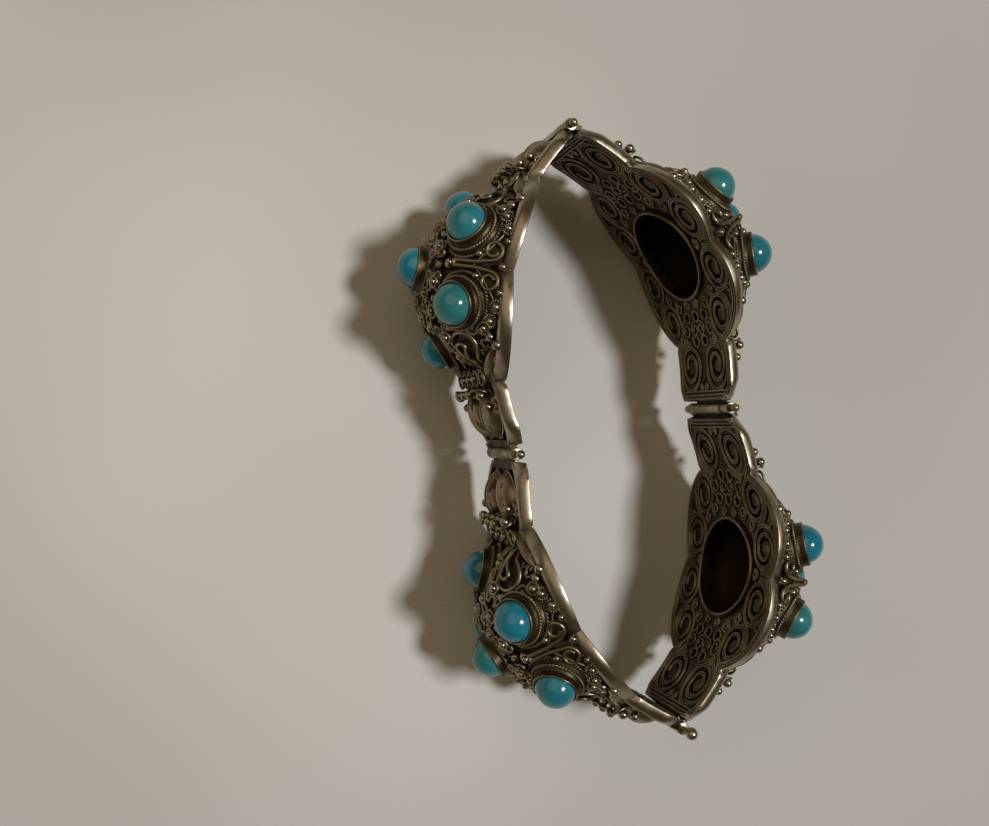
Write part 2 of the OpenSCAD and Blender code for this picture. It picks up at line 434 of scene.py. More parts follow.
# The horns' leaning plane, and in it the hairpin's bend, one arm, and where the arm curls away.
HORN_START = Vector((0, 13.2, 9.3))
HORN_WAY = Vector((0, -0.857, 0.516))
HORN_BEND = (0.34, 0.3)
HORN_ARM = [(0.35, 0.9), (0.35, 2.0), (0.4, 3.0), (0.55, 3.9)]
HORN_CURL_MIDDLE = (2.0, 4.7)
HORN_CURL = (180, -250, 1.3, 0.68)
BEND_SWEEP = (-80, 80, 20)

# Oval scrolls beside the ring of bezels: place and turn.
SCROLLS = ((9.8, 6.0, -55), (8.3, -9.2, 52))
SCROLL_SIZE = (2.4, 1.3)
SCROLL_LIFT = 0.5
SCROLL_STEP = 12
HEART_CURL = (0, 400, 0.45, 1.0)
HEART_SIZE = (1.35, 0.66)
HEART_ASIDE = 0.35
HEART_LIFT = 0.6

# Little hooks that fill the ground between the bezels: place, turn, size and lift.
HOOKS = (
    (4.7, 3.0, 20, 0.9, 0.7), (6.4, 2.4, 140, 0.95, 0.9), (5.1, 0.8, 250, 0.9, 0.6),
    (6.6, 0.3, 80, 0.85, 0.5), (7.9, 3.4, 300, 0.85, 0.7), (9.2, 2.1, 60, 0.8, 0.6),
    (5.2, -1.7, 100, 0.85, 0.8), (5.1, -4.0, 10, 0.9, 0.7), (4.3, -5.4, 190, 0.85, 0.6),
    (6.2, -6.0, 280, 0.9, 0.8), (3.5, -4.3, 60, 0.8, 0.9), (2.6, 3.9, 160, 0.8, 0.9),
    (3.3, -12.0, 20, 0.7, 0.3), (6.0, -8.4, 120, 0.85, 0.6), (10.9, -7.4, 40, 0.85, 0.5),
    (11.5, 3.9, 200, 0.8, 0.5), (1.5, 5.7, 320, 0.75, 0.8), (2.6, -5.2, 220, 0.7, 0.8),
    (12.4, 0.9, 90, 0.8, 0.5), (12.6, -5.9, 150, 0.75, 0.5), (7.4, 5.4, 230, 0.8, 0.6),
    (1.2, 4.3, 30, 0.7, 1.1), (11.0, 1.9, 320, 0.8, 0.6), (7.6, -7.2, 0, 0.8, 0.7),
    (7.4, 8.5, 30, 0.85, 0.5), (9.3, 9.4, 240, 0.8, 0.45), (12.6, 3.9, 120, 0.8, 0.5),
    (6.1, 6.2, 300, 0.8, 0.6), (12.9, -7.2, 60, 0.75, 0.4), (9.4, -9.9, 150, 0.8, 0.4),
    (2.4, -10.9, 20, 0.8, 0.4),
)
HOOK_TURN = 430
HOOK_HEART = 0.32
HOOK_TAIL = ((1.15, 1.4), (0.95, 1.9))

# A wire just inside the rim, from shoulder to shoulder.
FOOT_WIRE_INSET = 1.5
FOOT_WIRE_END_X = 13.4
FOOT_WIRE_LIFT = 0.22

# Rings with a ball in each, heaped where there is room: place, radius and lift.
KNOTS = (
    (5.6, 3.9, 0.85, 0.9), (3.4, 3.0, 0.8, 1.0), (7.2, 1.5, 0.85, 0.8), (5.9, -0.4, 0.75, 0.9),
    (4.2, -2.9, 0.8, 1.0), (8.6, 4.6, 0.8, 0.8), (10.2, 3.2, 0.8, 0.7), (6.9, -4.9, 0.8, 0.7),
    (5.0, -6.9, 0.8, 0.8), (9.6, -7.6, 0.8, 0.6), (11.9, -4.1, 0.75, 0.6), (12.0, 2.6, 0.8, 0.7),
    (2.2, 5.2, 0.75, 1.1), (0.9, -4.9, 0.7, 1.0), (7.4, 9.9, 0.8, 0.5), (7.9, -11.0, 0.75, 0.4),
    (12.6, 0, 0.9, 0.9), (12.7, 5.4, 0.9, 0.9), (12.7, -5.4, 0.9, 0.9),
)

# Rosettes, rings of coiled wire with a ball in each, near the rim.
ROSETTES = ((4.9, 11.7), (6.6, 10.7), (4.9, -11.9))
ROSETTE_R = 0.78
ROSETTE_WIND_R = 0.26
ROSETTE_WINDS = 16
ROSETTE_LIFT = 0.3

# Little springs near the rim: place and turn.
COILS = ((12.9, 6.9, -50), (16.4, 5.9, -70), (5.2, -12.35, -4), (13.2, -6.9, 50), (16.4, -5.9, 70))
COIL_HALF = 0.9
COIL_R = 0.42
COIL_TURNS = 6

# Twisted wires round the foot and the waist of a bezel: below its lip, radius, strand and twists.
BEZEL_ROPES = (
    (2.05, SKIRT_R - 0.02, ROPE_STRAND, 26),
    (1.25, SKIRT_R - 0.56, 0.8 * ROPE_STRAND, 24),
)
LIP_WIRE_R = LIP_R - 0.14
LIP_WIRE_BELOW = 0.02


def horn_place(u, v):
    """A place in the horns' plane, from the hairpin's bend down to the cusp of the rim."""
    return HORN_START + HORN_WAY * v + Vector((u, 0, 0))


def horn_runs():
    """At the upper cusp, a hairpin whose two arms run down to the rim and curl away like horns."""
    wide, deep = HORN_BEND
    bend = []
    for turn in sweep(*BEND_SWEEP):
        c, s = turned(1, 0, turn)
        bend.append((wide * s, -deep * c))
    u_middle, v_middle = HORN_CURL_MIDDLE
    horn = [(u_middle + u, v_middle + v) for u, v in curl(*HORN_CURL)]
    side = HORN_ARM + horn
    points = [(-u, v) for u, v in reversed(side)] + bend + side
    return [([horn_place(u, v) for u, v in points], False)]


def laid_path(hand, x, z, turn, flat, lift):
    """Carries a flat path to a place of the front, turned, and mirrored for the left hand."""
    points = []
    for u, v in flat:
        u, v = turned(u, v, turn)
        points.append(on_front(hand * (x + u), z + v, lift))
    return points


def scroll_runs():
    """Oval scrolls: a ring with a wire that winds in inside it."""
    long, wide = SCROLL_SIZE
    heart_long, heart_wide = HEART_SIZE
    ring = []
    for t in range(0, 360, SCROLL_STEP):
        c, s = turned(1, 0, t)
        ring.append((long * c, wide * s))
    heart = [(HEART_ASIDE + heart_long * u, heart_wide * v) for u, v in curl(*HEART_CURL)]
    runs = []
    for hand in SIDES:
        for x, z, turn in SCROLLS:
            runs.append((laid_path(hand, x, z, turn, ring, SCROLL_LIFT), True))
            runs.append((laid_path(hand, x, z, turn, heart, HEART_LIFT), False))
    return runs


def hook_runs():
    runs = []
    for x, z, turn, size, lift in HOOKS:
        flat = curl(0, HOOK_TURN, HOOK_HEART * size, size)
        flat += [(size * u, size * v) for u, v in HOOK_TAIL]
        runs += [(laid_path(hand, x, z, turn, flat, lift), False) for hand in SIDES]
    return runs


def foot_wire_runs():
    edge = long_edge(FOOT_WIRE_INSET, FOOT_WIRE_END_X)
    return [([on_front(x, sz * z, FOOT_WIRE_LIFT) for x, z in edge], False) for sz in SIDES]


def knot_runs():
    runs = []
    for x, z, radius, lift in KNOTS:
        runs += [laid_ring(on_front, hand * x, z, lift, radius, SMALL_RING) for hand in SIDES]
    return runs


def rosette_runs():
    """A fine wire wound round and round a small ring, like the rays of a flower."""
    runs = []
    for x, z in ROSETTES:
        for hand in SIDES:
            centre = on_front(hand * x, z, ROSETTE_LIFT)
            axis = on_front(hand * x, z, ROSETTE_LIFT + 1) - centre
            runs.append(wound_ring(centre, axis, ROSETTE_R, ROSETTE_WIND_R, ROSETTE_WINDS))
    return runs


def coil_runs():
    runs = []
    for x, z, turn in COILS:
        u, v = turned(COIL_HALF, 0, turn)
        for hand in SIDES:
            start = on_front(hand * (x - u), z - v, COIL_R)
            end = on_front(hand * (x + u), z + v, COIL_R)
            runs.append(coil_run(start, end, COIL_R, COIL_TURNS))
    return runs


def bezel_rope_runs():
    runs = []
    for seat in SEATS:
        for below, radius, strand, twists in BEZEL_ROPES:
            middle, way = bezel_level(seat, below)
            runs += rope_runs(middle, way, radius, strand, twists)
    return runs


def bezel_lip_runs():
    """The rolled lip that grips each stone."""
    runs = []
    for seat in SEATS:
        middle, way = bezel_level(seat, LIP_WIRE_BELOW)
        runs.append(ring_run(middle, way, LIP_WIRE_R, LIP_RING))
    return runs


# The crest of each tab, where the dome gives way to it: a row of rings on edge, a row of flat
# rings before them, and two bows of wire at their foot.

CREST_Z = (-4.1, -1.4, 1.4, 4.1)
CREST_X = 14.4
CREST_OUT = PLATE_T + 1.75
CREST_R = 1.25

# How a ring on edge leans, from its middle: along, as a share of its place across, and outward.
CREST_LEAN = (0.5, 0.04, 0.3)

FLAT_RING_Z = (-5.4, -2.7, 0, 2.7, 5.4)
FLAT_RING_X = 12.9
FLAT_RING_LIFT = 1.5
FLAT_RING_R = 1.05

BOW_X = 15.4
BOW_SIZE = (1.5, 1.2)
BOW_SWEEP = (-70, 200, 12)
BOW_OUT = PLATE_T + 0.3

# Rows of balls on the crests: place along, how far out, radius, and the places across.
CREST_GAPS_Z = (-2.75, 0, 2.75)
CREST_ENDS_Z = (-5.3, 5.3)
CREST_BALLS = (
    (14.3, PLATE_T + 2.9, 0.62, CREST_GAPS_Z),
    (14.5, PLATE_T + 1.7, 0.55, CREST_Z),
    (14.6, PLATE_T + 2.1, 0.66, CREST_ENDS_Z),
    (16.0, PLATE_T + 1.5, 0.6, CREST_ENDS_Z),
)
FLAT_BALL_LIFT = 1.8
FLAT_BALL_R = 0.55


def crest_runs():
    along, aslant, outward = CREST_LEAN
    runs = []
    for sx in SIDES:
        for z in CREST_Z:
            centre = on_arch(sx * CREST_X, z, CREST_OUT)
            ahead = on_arch(sx * (CREST_X + along), z * (1 + aslant), CREST_OUT + outward)
            behind = on_arch(sx * (CREST_X - along), z * (1 - aslant), CREST_OUT - outward)
            runs.append(ring_run(centre, ahead - behind, CREST_R, CREST_RING))
        for z in FLAT_RING_Z:
            x = sx * FLAT_RING_X
            runs.append(laid_ring(on_front, x, z, FLAT_RING_LIFT, FLAT_RING_R, HOLE_RING))
    for sx, sz in QUARTERS:
        bow = []
        for turn in sweep(*BOW_SWEEP):
            u, v = turned(1, 0, turn)
            across = sz * BOW_SIZE[1] * (1 + v)
            bow.append(on_arch(sx * (BOW_X - BOW_SIZE[0] * u), across, BOW_OUT))
        runs.append((bow, False))
    return runs


def crest_balls():
    balls = []
    for sx in SIDES:
        for x, out, radius, row in CREST_BALLS:
            balls += [(on_arch(sx * x, z, out), radius) for z in row]
        for z in CREST_GAPS_Z:
            balls.append((on_front(sx * FLAT_RING_X, z, FLAT_BALL_LIFT), FLAT_BALL_R))
    return balls


# Soldered balls of the front: place and radius. Each has its twin on the other half.
BALLS = (
    (1.5, 4.5, 0.58), (2.9, 4.9, 0.46), (4.1, 4.3, 0.58), (6.7, 4.6, 0.5), (7.5, 5.9, 0.58),
    (4.9, 11.7, 0.58), (6.6, 10.7, 0.6), (8.3, 9.9, 0.6), (9.4, 10.9, 0.7), (3.2, 12.3, 0.46),
    (10.6, 0.9, 0.58), (11.4, 2.4, 0.58), (10.9, 9.3, 0.5), (15.6, 5.9, 0.5), (15.6, -5.9, 0.5),
    (15.7, 0, 0.58), (4.6, -2.9, 0.58), (6.7, -4.6, 0.58), (5.2, -7.0, 0.58), (3.1, -3.3, 0.46),
    (4.9, -11.9, 0.58), (6.4, -11.2, 0.58), (8.1, -10.9, 0.6), (9.6, -10.9, 0.7),
    (11.2, -9.4, 0.5), (12.6, -4.4, 0.5), (8.4, -6.6, 0.58), (6.7, 1.6, 0.58), (4.5, 1.9, 0.5),
    (7.8, 2.4, 0.5),
)
SINGLE_BALLS = ((0, 5.4, 0.58), (0, 7.2, 0.66), (0, -4.6, 0.58), (0, -11.4, 0.5))
BALL_SEAT = 0.75
KNOT_BALL_R = 0.52
KNOT_BALL_LIFT = 0.15

# Balls of the horns, in their plane: place and radius. One more sits just past the bend.
HORN_BALLS = ((0, 6.2, 0.55), (1.45, 2.9, 0.5), (-1.45, 2.9, 0.5))
BEND_BALL = horn_place(0, -1.1) + Vector((0, -0.3, -0.2))
BEND_BALL_R = 0.5


def front_granules():
    """Balls in clusters: by the crown, inside the horns, along the rim and on the crests."""
    spread = list(SINGLE_BALLS)
    for hand in SIDES:
        spread += [(hand * x, z, radius) for x, z, radius in BALLS]
    balls = [(on_front(x, z, BALL_SEAT * radius), radius) for x, z, radius in spread]
    for x, z, ring_radius, lift in KNOTS:
        for hand in SIDES:
            balls.append((on_front(hand * x, z, lift + KNOT_BALL_LIFT), KNOT_BALL_R))
    balls += [(horn_place(u, v), radius) for u, v, radius in HORN_BALLS]
    balls.append((BEND_BALL, BEND_BALL_R))
    return balls + crest_balls()


# The leaves.

# Tab leaves: place, half length, height and half width, turn, taper, and the dip beside the rib
# as its depth, place and breadth.
TAB_LEAF_X = 17.1
TAB_LEAF_Z = 2.95
TAB_LEAF_OUT = 0.5
TAB_LEAF_SIZE = (3.5, 2.45, 2.65)
TAB_LEAF_TURN = 14
TAB_LEAF_TAPER = 0.3
TAB_LEAF_DIP = (0.12, 0.36, 0.14)
TAB_LEAF_UNDER = -0.1
LEAF_RIB_SWEEP = (25, 155, 10)
LEAF_FOOT_STEP = 10
LEAF_FOOT_GROWTH = 1.02
LEAF_FOOT_Y = 0.5

# Shoulder leaves: place, half length, height and half width, turn, lean and taper.
SHOULDER_LEAF_X = 11.3
SHOULDER_LEAF_Z = 7.9
SHOULDER_LEAF_OUT = PLATE_T + 0.6
SHOULDER_LEAF_SIZE = (3.1, 0.9775, 0.8)
SHOULDER_LEAF_TURN = 50
SHOULDER_LEAF_LEAN = 20
SHOULDER_LEAF_TAPER = 0.55


def leaf_place(sx, sz, centre, lean, turn):
    """From a leaf's own length, height and width to its place on a quarter of the front."""
    leaned = Matrix.Rotation(-sx * lean, 4, "Z")
    spun = Matrix.Rotation(math.radians(sx * sz * turn), 4, "Y")
    return Matrix.Translation(centre) @ leaned @ spun


def tab_leaf_place(sx, sz):
    centre = on_arch(sx * TAB_LEAF_X, sz * TAB_LEAF_Z, TAB_LEAF_OUT)
    return leaf_place(sx, sz, centre, math.asin(TAB_LEAF_X / ARCH_R), TAB_LEAF_TURN)


def tab_leaves():
    """Two plump pointed leaves on each tab, each with a soft dip beside its rib."""
    bm = bmesh.new()
    long, high, wide = TAB_LEAF_SIZE
    depth, beside, breadth = TAB_LEAF_DIP
    for sx, sz in QUARTERS:
        made = bmesh.ops.create_uvsphere(bm, u_segments=40, v_segments=28, radius=1)
        for v in made["verts"]:
            along = v.co.x
            dip = 1 - depth * math.exp(-((abs(v.co.z) - beside) / breadth) ** 2)
            v.co.y = max(v.co.y * high * dip, TAB_LEAF_UNDER)
            v.co.z *= wide * (1 - TAB_LEAF_TAPER * along * along)
            v.co.x *= long
        bmesh.ops.transform(bm, matrix=tab_leaf_place(sx, sz), verts=made["verts"])
    return mesh_of("tab_leaves", bm)


def leaf_wire_runs():
    """A rib along the top of each tab leaf and a wire round its foot."""
    long, high, wide = TAB_LEAF_SIZE
    runs = []
    for sx, sz in QUARTERS:
        place = tab_leaf_place(sx, sz)
        rib = []
        for t in sweep(*LEAF_RIB_SWEEP):
            c, s = turned(1, 0, t)
            rib.append(place @ Vector((long * c, high * s, 0)))
        foot = []
        for t in range(0, 360, LEAF_FOOT_STEP):
            c, s = turned(LEAF_FOOT_GROWTH, 0, t)
            narrow = 1 - TAB_LEAF_TAPER * (c / LEAF_FOOT_GROWTH) ** 2
            foot.append(place @ Vector((long * c, LEAF_FOOT_Y, wide * narrow * s)))
        runs += [(rib, False), (foot, True)]
    return runs


def shoulder_leaves():
    """A smooth long leaf on each shoulder, lying beside the lobe's rim."""
    bm = bmesh.new()
    size = Matrix.Diagonal((*SHOULDER_LEAF_SIZE, 1))
    lean = math.radians(SHOULDER_LEAF_LEAN)
    for sx, sz in QUARTERS:
        made = bmesh.ops.create_uvsphere(bm, u_segments=24, v_segments=16, radius=1)
        for v in made["verts"]:
            v.co.z *= 1 - SHOULDER_LEAF_TAPER * v.co.x * v.co.x
        centre = on_arch(sx * SHOULDER_LEAF_X, sz * SHOULDER_LEAF_Z, SHOULDER_LEAF_OUT)
        place = leaf_place(sx, sz, centre, lean, SHOULDER_LEAF_TURN)
        bmesh.ops.transform(bm, matrix=place @ size, verts=made["verts"])
    return mesh_of("shoulder_leaves", bm)


# The knuckles' sleeves and the rim.

# A sleeve is a little thicker and longer than the tube that it covers.
SLEEVE_R = TUBE_R + 0.04
SLEEVE_LONGER = 0.02
SLEEVE_ROUNDING = 0.14

# Edges of a sleeve whose faces meet at more than this, in radians, are rounded.
SLEEVE_CORNER = 1

# The rim's cross-section: how far in from the panel's edge, and how far out from the back plate's
# inner face. Near the hinges it is slimmer, to keep clear of the next panel. Edges wholly past
# STRIP_CAP_X are the strip's short ends, which are capped.
RIM_PROFILE = (
    (-0.02, -0.16), (-0.03, 0.17), (0.08, 0.64), (0.31, 1.04), (0.62, 1.34), (0.98, 1.4),
    (1.09, 1.25), (1.09, -0.16),
)
SLIM_OUT = (-0.12, 1.33)
SLIM_START_X = 18.5
SLIM_LENGTH = 2
STRIP_END_GAP = 0.02
STRIP_CAP_X = TAB_END_X - 0.05
STRIP_CREASE = 50


def knuckle_sleeves():
    """The turned sleeve of each knuckle, rounded at both ends."""
    bm = bmesh.new()
    outer = MIDDLE_HALF + KNUCKLE_GAP
    spans = ((1, -MIDDLE_HALF, MIDDLE_HALF), (-1, outer, KNUCKLE_HALF), (-1, -KNUCKLE_HALF, -outer))
    for side, low, high in spans:
        place = Matrix.Translation((side * HINGE_PITCH / 2, 0, (low + high) / 2))
        bmesh.ops.create_cone(
            bm, cap_ends=True, segments=28, radius1=SLEEVE_R, radius2=SLEEVE_R,
            depth=high - low + SLEEVE_LONGER, matrix=place,
        )
    rings = [e for e in bm.edges if e.calc_face_angle(0) > SLEEVE_CORNER]
    bmesh.ops.bevel(
        bm, geom=rings, offset=SLEEVE_ROUNDING, segments=3, profile=0.5, affect="EDGES", material=-1
    )
    return mesh_of("knuckle_sleeves", bm)


def rim_strips():
    """The smooth rounded strip along each long side of the panel."""
    bm = bmesh.new()
    insets = [inset for inset, out in RIM_PROFILE]
    outs = [out for inset, out in RIM_PROFILE]
    slim_outs = [min(max(out, SLIM_OUT[0]), SLIM_OUT[1]) for out in outs]
    ends = [panel_end(out) - STRIP_END_GAP for out in slim_outs]
    edges = [long_edge(inset, end_x) for inset, end_x in zip(insets, ends)]
    columns = len(edges[0]) - 1
    rows = len(RIM_PROFILE) - 1
    for sz in SIDES:
        made = bmesh.ops.create_grid(bm, x_segments=columns, y_segments=rows, size=1)
        for v in made["verts"]:
            row = round((v.co.y + 1) / 2 * rows)
            x, z = edges[row][round((v.co.x + 1) / 2 * columns)]
            slimness = min(max((abs(x) - SLIM_START_X) / SLIM_LENGTH, 0), 1)
            out = outs[row] * (1 - slimness) + slim_outs[row] * slimness
            v.co = (x, arch_y(x, out), sz * z)
        own = set(made["verts"])
        sides = [e for e in bm.edges if e.is_boundary and e.verts[0] in own]
        long_sides = [e for e in sides if min(abs(v.co.x) for v in e.verts) < STRIP_CAP_X]
        bmesh.ops.bridge_loops(bm, edges=long_sides)
    bmesh.ops.holes_fill(bm, edges=[e for e in bm.edges if e.is_boundary], sides=0)
    bmesh.ops.recalc_face_normals(bm, faces=bm.faces)
    mesh = mesh_of("rim_strips", bm)
    mesh.set_sharp_from_angle(angle=math.radians(STRIP_CREASE))
    return mesh


# Small steps of a node tree.

def put(tree, kind, **settings):
    made = tree.nodes.new(kind)
    for name, value in settings.items():
        setattr(made, name, value)
    return made


def feed(tree, node, given):
    """Fills inputs of a node, each with a link, a colour or a plain value."""
    for label, value in given.items():
        socket = node.inputs[label]
        if isinstance(value, bpy.types.NodeSocket):
            tree.links.new(value, socket)
        elif socket.type == "RGBA":
            socket.default_value = (*value, 1)
        else:
            socket.default_value = value


def math_node(tree, operation, first, second, clamp=False):
    made = put(tree, "ShaderNodeMath", operation=operation, use_clamp=clamp)
    feed(tree, made, {0: first, 1: second})
    return made.outputs[0]


def map_range(tree, value, low, high, to_low=0, to_high=1):
    made = put(tree, "ShaderNodeMapRange", interpolation_type="SMOOTHSTEP")
    feed(tree, made, {
        "Value": value, "From Min": low, "From Max": high, "To Min": to_low, "To Max": to_high,
    })
    return made.outputs["Result"]


def blend_colour(tree, share, first, second, kind="MIX"):
    made = put(tree, "ShaderNodeMix", data_type="RGBA", blend_type=kind)
    feed(tree, made, {"Factor": share, 6: first, 7: second})
    return made.outputs[2]


def own_place(tree):
    return put(tree, "ShaderNodeTexCoord").outputs["Object"]


def noise(tree, scale, detail, roughness=0.5, place=None):
    if place is None:
        place = own_place(tree)
    made = put(tree, "ShaderNodeTexNoise")
    feed(tree, made, {"Vector": place, "Scale": scale, "Detail": detail, "Roughness": roughness})
    return made.outputs["Fac"]


def bump(tree, height, distance, strength):
    made = put(tree, "ShaderNodeBump")
    feed(tree, made, {"Height": height, "Distance": distance, "Strength": strength})
    return made.outputs["Normal"]


# Shader groups that several finishes share.

def group(name, inputs, outputs):
    tree = bpy.data.node_groups.new(name, "ShaderNodeTree")
    for label, value in inputs.items():
        socket = tree.interface.new_socket(label, in_out="INPUT", socket_type="NodeSocketFloat")
        socket.default_value = value
    for label in outputs:
        tree.interface.new_socket(label, in_out="OUTPUT", socket_type="NodeSocketFloat")
    return tree, tree.nodes.new("NodeGroupInput"), tree.nodes.new("NodeGroupOutput")


def recess_tarnish_and_shade_group():
    """A mask that is 1 down between the wires and 0 on what stands free, with a ragged edge. On the
    silver it places tarnish; in the dome's deep cavity and where each stone sits in its bezel it
    places painted shade.
    """
    inputs = {"Reach": 0.0012, "Open": 0.75, "Deep": 0.3, "Ragged": 0.25}
    tree, given, result = group("recess_tarnish_and_shade", inputs, ("Mask",))
    shade = put(tree, "ShaderNodeAmbientOcclusion", samples=8)
    feed(tree, shade, {"Distance": given.outputs["Reach"]})
    ragged = math_node(tree, "SUBTRACT", noise(tree, scale=900, detail=3), 0.5)
    ragged = math_node(tree, "MULTIPLY", ragged, given.outputs["Ragged"])
    value = math_node(tree, "ADD", shade.outputs["AO"], ragged)
    mask = map_range(tree, value, given.outputs["Deep"], given.outputs["Open"], 1, 0)
    feed(tree, result, {"Mask": mask})
    return tree


def worn_edge_group():
    """A mask that is 1 along edges that rub on skin and sleeves."""
    inputs = {"Width": 0.00012, "Strength": 1.0}
    tree, given, result = group("worn_edges", inputs, ("Mask",))
    rounded = put(tree, "ShaderNodeBevel", samples=4)
    feed(tree, rounded, {"Radius": given.outputs["Width"]})
    flat = put(tree, "ShaderNodeNewGeometry")
    facing = put(tree, "ShaderNodeVectorMath", operation="DOT_PRODUCT")
    feed(tree, facing, {0: rounded.outputs["Normal"], 1: flat.outputs["Normal"]})
    turned_away = math_node(tree, "SUBTRACT", 1, facing.outputs["Value"])
    ragged = map_range(tree, noise(tree, scale=1400, detail=4), 0.35, 0.6, to_low=0.4)
    edge = math_node(tree, "MULTIPLY", map_range(tree, turned_away, 0.01, 0.12), ragged)
    mask = math_node(tree, "MULTIPLY", edge, given.outputs["Strength"], clamp=True)
    feed(tree, result, {"Mask": mask})
    return tree


def hand_finish_group():
    """Shallow dents, rubbed lines and a film of grime, as height and as a change of roughness."""
    inputs = {"Dents": 0.5, "Lines": 0.3}
    tree, given, result = group("hand_finish", inputs, ("Height", "Film"))
    hollows = noise(tree, scale=700, detail=2)
    dents = math_node(tree, "MULTIPLY", hollows, given.outputs["Dents"])
    stretch = put(tree, "ShaderNodeMapping")
    feed(tree, stretch, {"Vector": own_place(tree), "Scale": (700, 700, 6000)})
    rubbed = noise(tree, scale=1, detail=2, place=stretch.outputs["Vector"])
    lines = math_node(tree, "MULTIPLY", rubbed, given.outputs["Lines"])
    film = map_range(tree, noise(tree, scale=320, detail=5, roughness=0.6), 0.35, 0.68)
    feed(tree, result, {"Height": math_node(tree, "ADD", dents, lines), "Film": film})
    return tree


def grouped(tree, which, **values):
    made = put(tree, "ShaderNodeGroup", node_tree=which)
    feed(tree, made, values)
    return made


# The finishes.

def new_material(name):
    material = bpy.data.materials.new(name)
    material.use_nodes = True
    tree = material.node_tree
    return material, tree, tree.nodes["Principled BSDF"]


def aged_silver(
    name, worn, body, tarnish, grime, reach, open_at, deep_at, rough, dents, edge_width, hollow_shade=None
):
    """Old silver: worn bright where it is rubbed, brown-black in its recesses, with uneven grime.

    With a hollow_shade colour given, the inside of a deep cavity takes that colour too, as painted
    shade.
    """
    material, tree, skin = new_material(name)
    recess = grouped(tree, recess_tarnish_and_shade, Reach=reach, Open=open_at, Deep=deep_at)
    deep = recess.outputs["Mask"]
    wear = grouped(tree, worn_edges, Width=edge_width)
    finish = grouped(tree, hand_finish, Dents=dents)
    smears = noise(tree, scale=160, detail=4, roughness=0.6)
    patch = map_range(tree, smears, 0.42, 0.66, to_high=0.75)
    base = blend_colour(tree, patch, body, grime)
    base = blend_colour(tree, wear.outputs["Mask"], base, worn)
    base = blend_colour(tree, deep, base, tarnish)
    # Painted shade: the inside of the dome's deep cavity is darkened.
    if hollow_shade:
        inside = grouped(tree, recess_tarnish_and_shade, Reach=0.03, Open=0.42, Deep=0.22, Ragged=0.05)
        base = blend_colour(tree, inside.outputs["Mask"], base, hollow_shade)
    film = map_range(tree, finish.outputs["Film"], 0, 1, *rough)
    feed(tree, skin, {
        "Base Color": base,
        "Roughness": math_node(tree, "ADD", film, math_node(tree, "MULTIPLY", deep, 0.25)),
        "Metallic": map_range(tree, deep, 0, 1, to_low=1, to_high=0.55),
        "Normal": bump(tree, finish.outputs["Height"], distance=0.00006, strength=0.5),
    })
    return material


def turquoise(name, main, second, pale):
    """Cabochon turquoise: two shades in soft clouds, a few pale flecks, a rubbed polish, and
    painted shade where it sits in its bezel.
    """
    material, tree, skin = new_material(name)
    clouds = map_range(tree, noise(tree, scale=260, detail=3, roughness=0.55), 0.36, 0.66)
    specks = noise(tree, scale=900, detail=5, roughness=0.7)
    flecks = map_range(tree, specks, 0.62, 0.74, to_high=0.5)
    base = blend_colour(tree, clouds, main, second)
    base = blend_colour(tree, flecks, base, pale)
    # Painted shade: each stone turns dark where it sits down in its bezel.
    seat = grouped(tree, recess_tarnish_and_shade, Reach=0.0006, Open=0.6, Deep=0.3)
    rubbed = noise(tree, scale=1200, detail=4)
    pits = noise(tree, scale=700, detail=3)
    feed(tree, skin, {
        "Base Color": blend_colour(tree, seat.outputs["Mask"], base, (0.05, 0.09, 0.08)),
        "Roughness": map_range(tree, rubbed, 0.3, 0.7, to_low=0.13, to_high=0.26),
        "IOR": 1.6,
        "Coat Weight": 0.15,
        "Coat Roughness": 0.08,
        "Subsurface Weight": 0.08,
        "Subsurface Scale": 0.0008,
        "Normal": bump(tree, pits, distance=0.00002, strength=0.25),
    })
    return material


# A painted pool of light on the cloth, in metres: its middle, and where the painted shade round it
# starts and ends.
CLOTH_LIT_MIDDLE = (-0.025, 0.008, 0)
CLOTH_LIT_REACH = (0.03, 0.075)


def cloth():
    """The pale cloth under the bracelet: a fine knit, slow shade changes, and a painted pool of
    light, with painted shade further out.
    """
    material, tree, skin = new_material("pale_cloth")
    weave = put(tree, "ShaderNodeTexWave", wave_type="BANDS", bands_direction="Y")
    feed(tree, weave, {"Vector": own_place(tree), "Scale": 420, "Distortion": 3.5, "Detail": 2})
    knit = weave.outputs["Fac"]
    broad = map_range(tree, noise(tree, scale=9, detail=2), 0.35, 0.65)
    base = blend_colour(tree, broad, (0.66, 0.635, 0.58), (0.725, 0.7, 0.65))
    grooves = math_node(tree, "MULTIPLY", knit, 0.025)
    base = blend_colour(tree, grooves, base, (0.5, 0.47, 0.42))
    # Painted shade: the cloth darkens with distance from the painted pool of light.
    from_middle = put(tree, "ShaderNodeVectorMath", operation="DISTANCE")
    feed(tree, from_middle, {0: own_place(tree), 1: CLOTH_LIT_MIDDLE})
    away = map_range(tree, from_middle.outputs["Value"], *CLOTH_LIT_REACH)
    fluff = noise(tree, scale=1500, detail=2)
    feed(tree, skin, {
        "Base Color": blend_colour(tree, away, base, (0.85, 0.85, 0.85), "MULTIPLY"),
        "Roughness": 0.95,
        "Sheen Weight": 0.15,
        "Normal": bump(tree, math_node(tree, "ADD", knit, fluff), distance=0.00008, strength=0.14),
    })
    return material


# The stage: the photo's camera, the cloth and the light.

CAMERA_PLACE = Vector((-53.35, 11.22, 143.09)) * MM
CAMERA_AIM = Vector((-16.46, 5.67, 13.23)) * MM
CAMERA_ROLL = -10.79
CAMERA_LENS = 35.81
FLOOR_HALF = 1.2
FLOOR_DROP = 0.00008
LAMP_DISTANCE = 0.6


